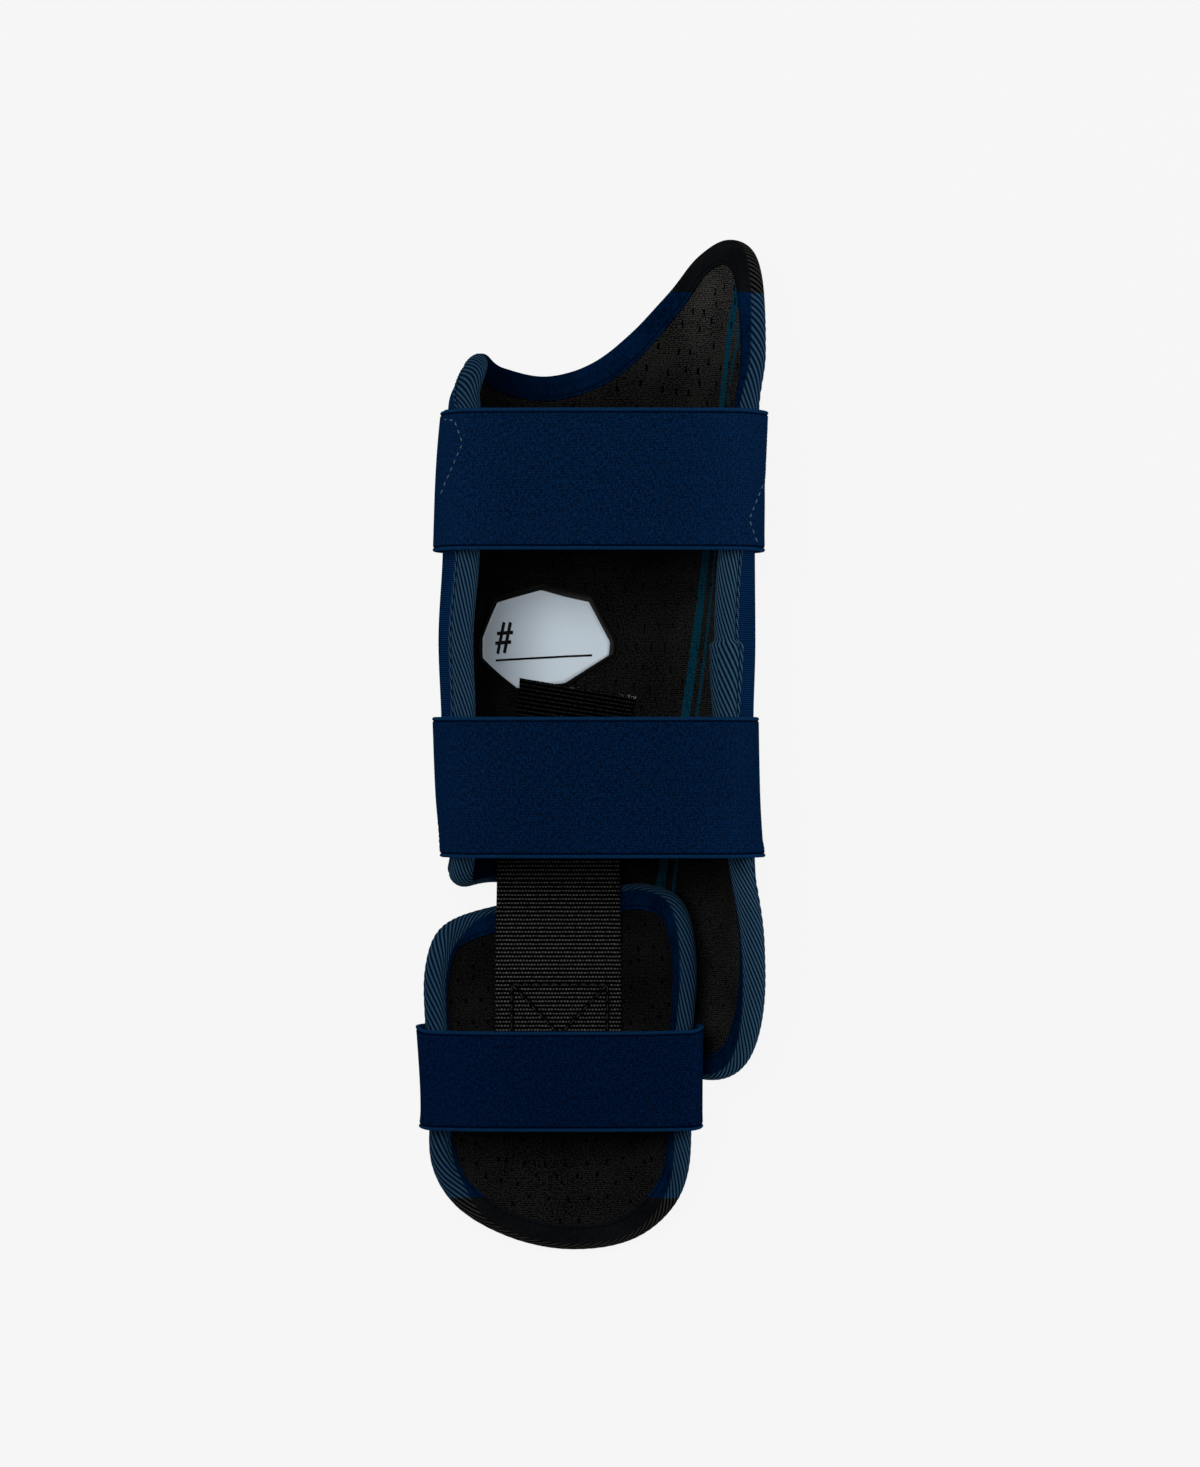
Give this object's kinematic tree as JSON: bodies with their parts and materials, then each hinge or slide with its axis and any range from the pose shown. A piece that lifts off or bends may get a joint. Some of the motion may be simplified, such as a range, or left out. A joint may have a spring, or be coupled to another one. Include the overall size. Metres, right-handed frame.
{
  "type": "batters leg guard",
  "caption": "Batter's leg guard: padded curved shin guard with an instep guard on a webbing link, elastic straps across its open back, lying on its front.",
  "frame": {"origin": "middle of the footprint, on the surface that the guard's front lies on", "axes": "+Y along the leg from foot to knee, +X across the shin towards the side with the raised peak, +Z from the guard's front out through its open back"},
  "size_m": [0.1532, 0.4424, 0.0962],
  "materials": {
    "shell": "navy shell, fine ribbed cloth cover",
    "liner": "charcoal perforated knit over foam",
    "binding": "navy twill binding tape",
    "elastic": "navy woven elastic",
    "webbing": "black woven nylon",
    "label": "pale printed film, satin"
  },
  "bodies": {
    "root": {"shin_shell": "shell", "shin_liner": "liner", "shin_binding": "binding", "instep_shell": "shell", "instep_liner": "liner", "instep_binding": "binding", "upper_calf_strap": "elastic", "lower_calf_strap": "elastic", "ankle_strap": "elastic", "link_webbing": "webbing", "number_label": "label"}
  },
  "joints": []
}
